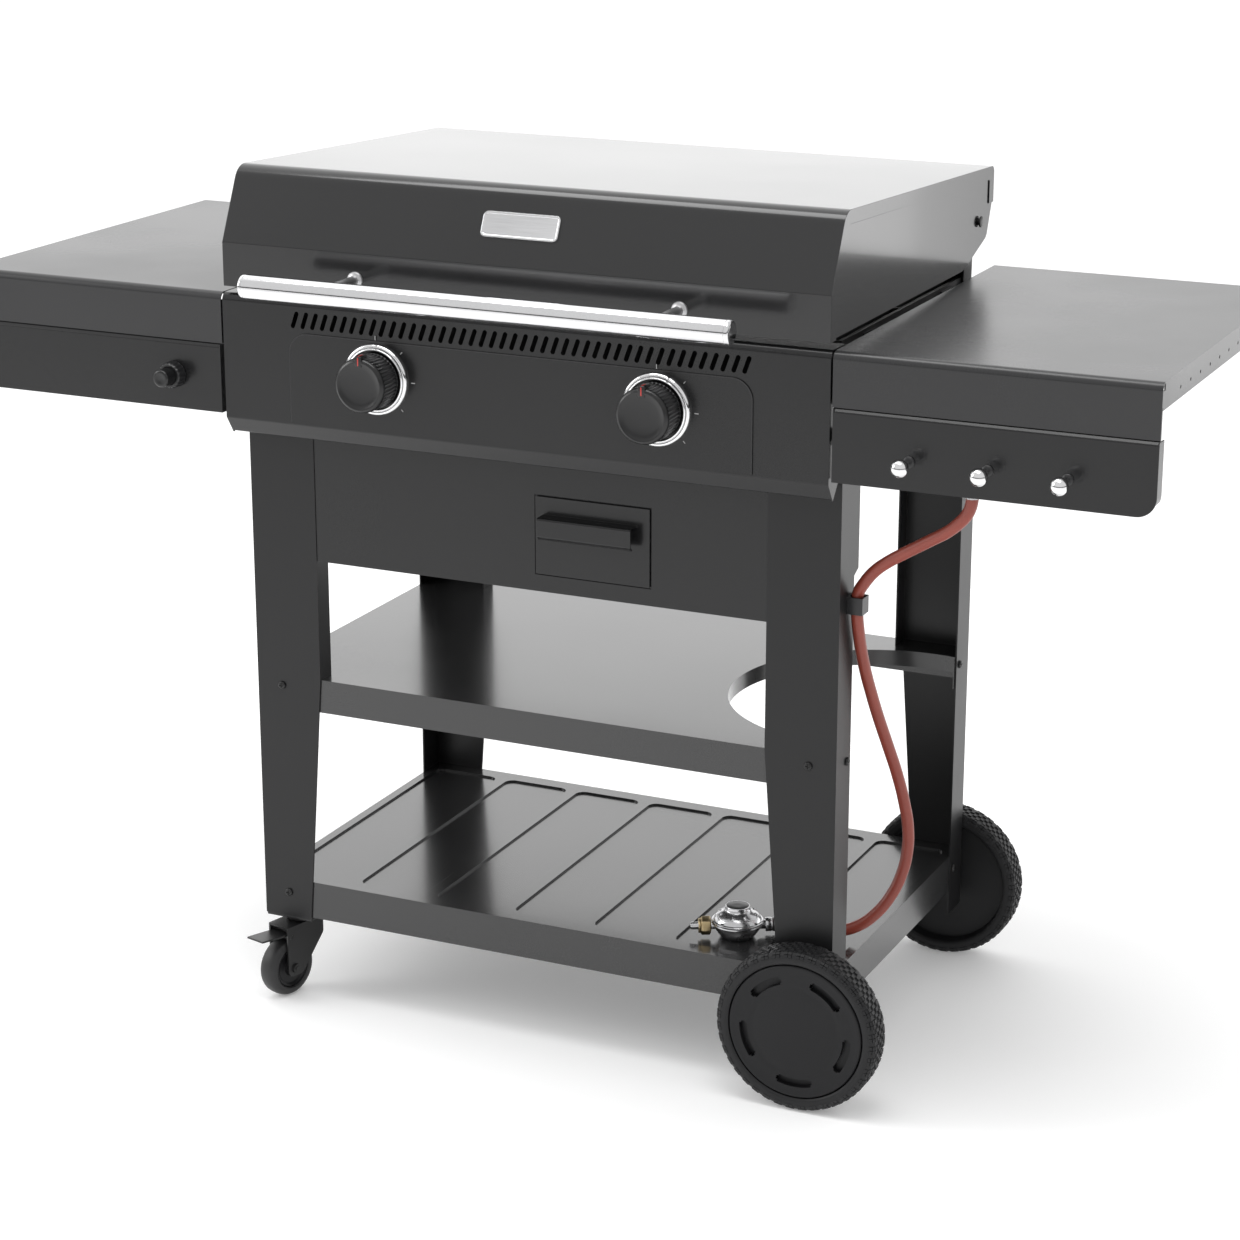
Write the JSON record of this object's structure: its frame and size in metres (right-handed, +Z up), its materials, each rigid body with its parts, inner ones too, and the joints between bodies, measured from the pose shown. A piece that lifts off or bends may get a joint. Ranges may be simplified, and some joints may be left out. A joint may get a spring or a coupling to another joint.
{
  "type": "gas barbecue grill",
  "caption": "Gas barbecue grill on a wheeled cart: hinged hood, firebox with burners and grates, control panel with knobs, side tables, shelves, grease tray, hose and regulator.",
  "frame": {"origin": "on the floor, at the middle of the footprint of the cart with its tables, handle and wheels", "axes": "+X to the right of the cook, +Y to the back of the grill, +Z up"},
  "size_m": [1.492, 0.649, 1.0483],
  "materials": {
    "dark_frame": "satin powder coat",
    "black_screw": "satin",
    "grey_sheet": "satin powder coat",
    "firebox_enamel": "satin",
    "panel_paint": "satin",
    "table_paint": "satin metallic paint",
    "hood_paint": "satin metallic paint",
    "chrome_trim": "polished",
    "knob_black": "satin",
    "plain_steel": "zinc plated",
    "brass_fitting": "satin",
    "burner_steel": "plain",
    "grate_iron": "matte enamel",
    "ceramic_white": "glazed",
    "wire_black": "matte",
    "hook_metal": "polished",
    "button_black": "gloss",
    "badge_metal": "brushed",
    "handle_steel": "brushed",
    "wheel_plastic": "matte",
    "cap_plastic": "satin",
    "caster_metal": "satin",
    "caster_rubber": "satin",
    "brake_steel": "zinc plated",
    "clip_black": "matte",
    "hose_red": "satin",
    "regulator_zinc": "polished die cast"
  },
  "bodies": {
    "cart": {"leg_front_left": "dark_frame", "leg_front_right": "dark_frame", "leg_rear_left": "dark_frame", "leg_rear_right": "dark_frame", "leg_screws": "black_screw", "bottom_shelf": "grey_sheet", "middle_shelf": "grey_sheet", "front_crosspiece": "dark_frame", "rear_crosspiece": "dark_frame", "side_rails": "dark_frame", "firebox": "firebox_enamel", "control_panel": "panel_paint", "knob_bezels": "chrome_trim", "gas_valves": "brass_fitting", "gas_manifold": "plain_steel", "burners": "burner_steel", "heat_plates": "burner_steel", "cooking_grates": "grate_iron", "electrode": "ceramic_white", "ignition_wire": "wire_black", "side_table_left": "table_paint", "side_table_right": "table_paint", "table_brackets": "dark_frame", "table_apron_left": "panel_paint", "table_apron_right": "panel_paint", "tool_hooks": "hook_metal", "igniter_housing": "button_black", "hinge_brackets": "dark_frame", "hinge_pins": "black_screw", "tray_rails": "plain_steel", "axle": "plain_steel", "axle_nuts": "plain_steel", "caster_mounts": "caster_metal", "hose_clip": "clip_black", "gas_hose": "hose_red", "regulator": "regulator_zinc", "regulator_nut": "brass_fitting"},
    "hood": {"hood_shell": "hood_paint", "hood_end_left": "hood_paint", "hood_end_right": "hood_paint", "hood_badge": "badge_metal", "handle_tube": "handle_steel", "handle_posts": "handle_steel", "handle_caps": "handle_steel"},
    "stem_left": {"valve_stem_left": "plain_steel"},
    "stem_right": {"valve_stem_right": "plain_steel"},
    "burner_knob_left": {"knob_left": "knob_black"},
    "burner_knob_right": {"knob_right": "knob_black"},
    "push_button": {"igniter_button": "button_black"},
    "tray": {"grease_tray": "panel_paint"},
    "big_wheel_front": {"wheel_front": "wheel_plastic", "wheel_cap_front": "cap_plastic"},
    "big_wheel_rear": {"wheel_rear": "wheel_plastic", "wheel_cap_rear": "cap_plastic"},
    "swivel_front": {"caster_fork_front": "caster_metal"},
    "swivel_rear": {"caster_fork_rear": "caster_metal"},
    "roller_front": {"caster_wheel_front": "caster_rubber"},
    "roller_rear": {"caster_wheel_rear": "caster_rubber"},
    "pedal_front": {"caster_brake_front": "brake_steel"},
    "pedal_rear": {"caster_brake_rear": "brake_steel"}
  },
  "joints": [
    {"name": "hood_hinge", "type": "hinge", "parent": "cart", "child": "hood", "pos_m": [0, 0.267, 0.965], "axis": [-1, 0, 0], "range_deg": [0, 90]},
    {"name": "knob_press_left", "type": "slide", "parent": "cart", "child": "stem_left", "axis": [0, 1, 0], "range_m": [0, 0.0035], "stiffness_N_per_m": 900, "springref_m": -0.002},
    {"name": "knob_turn_left", "type": "hinge", "parent": "stem_left", "child": "burner_knob_left", "pos_m": [-0.177, -0.2345, 0.82], "axis": [0, 1, 0], "range_deg": [-135, 0]},
    {"name": "knob_press_right", "type": "slide", "parent": "cart", "child": "stem_right", "axis": [0, 1, 0], "range_m": [0, 0.0035], "stiffness_N_per_m": 900, "springref_m": -0.002},
    {"name": "knob_turn_right", "type": "hinge", "parent": "stem_right", "child": "burner_knob_right", "pos_m": [0.177, -0.2345, 0.82], "axis": [0, 1, 0], "range_deg": [-135, 0]},
    {"name": "igniter_press", "type": "slide", "parent": "cart", "child": "push_button", "axis": [0, 1, 0], "range_m": [0, 0.006], "stiffness_N_per_m": 700, "springref_m": -0.002},
    {"name": "tray_slide", "type": "slide", "parent": "cart", "child": "tray", "axis": [0, -1, 0], "range_m": [0, 0.3]},
    {"name": "front_wheel_spin", "type": "hinge", "parent": "cart", "child": "big_wheel_front", "pos_m": [0.352, -0.2055, 0.1], "axis": [0, 1, 0], "continuous": true},
    {"name": "rear_wheel_spin", "type": "hinge", "parent": "cart", "child": "big_wheel_rear", "pos_m": [0.352, 0.3045, 0.1], "axis": [0, 1, 0], "continuous": true},
    {"name": "front_caster_swivel", "type": "hinge", "parent": "cart", "child": "swivel_front", "pos_m": [-0.347, -0.1525, 0.098], "axis": [0, 0, 1], "continuous": true},
    {"name": "front_caster_spin", "type": "hinge", "parent": "swivel_front", "child": "roller_front", "pos_m": [-0.35425, -0.17955, 0.0375], "axis": [0.9659, -0.2588, 0], "continuous": true},
    {"name": "front_brake_press", "type": "hinge", "parent": "swivel_front", "child": "pedal_front", "pos_m": [-0.3558, -0.18534, 0.081], "axis": [0.9659, -0.2588, 0], "range_deg": [0, 18]},
    {"name": "rear_caster_swivel", "type": "hinge", "parent": "cart", "child": "swivel_rear", "pos_m": [-0.347, 0.2515, 0.098], "axis": [0, 0, 1], "continuous": true},
    {"name": "rear_caster_spin", "type": "hinge", "parent": "swivel_rear", "child": "roller_rear", "pos_m": [-0.35425, 0.22445, 0.0375], "axis": [0.9659, -0.2588, 0], "continuous": true},
    {"name": "rear_brake_press", "type": "hinge", "parent": "swivel_rear", "child": "pedal_rear", "pos_m": [-0.3558, 0.21866, 0.081], "axis": [0.9659, -0.2588, 0], "range_deg": [0, 18]}
  ]
}
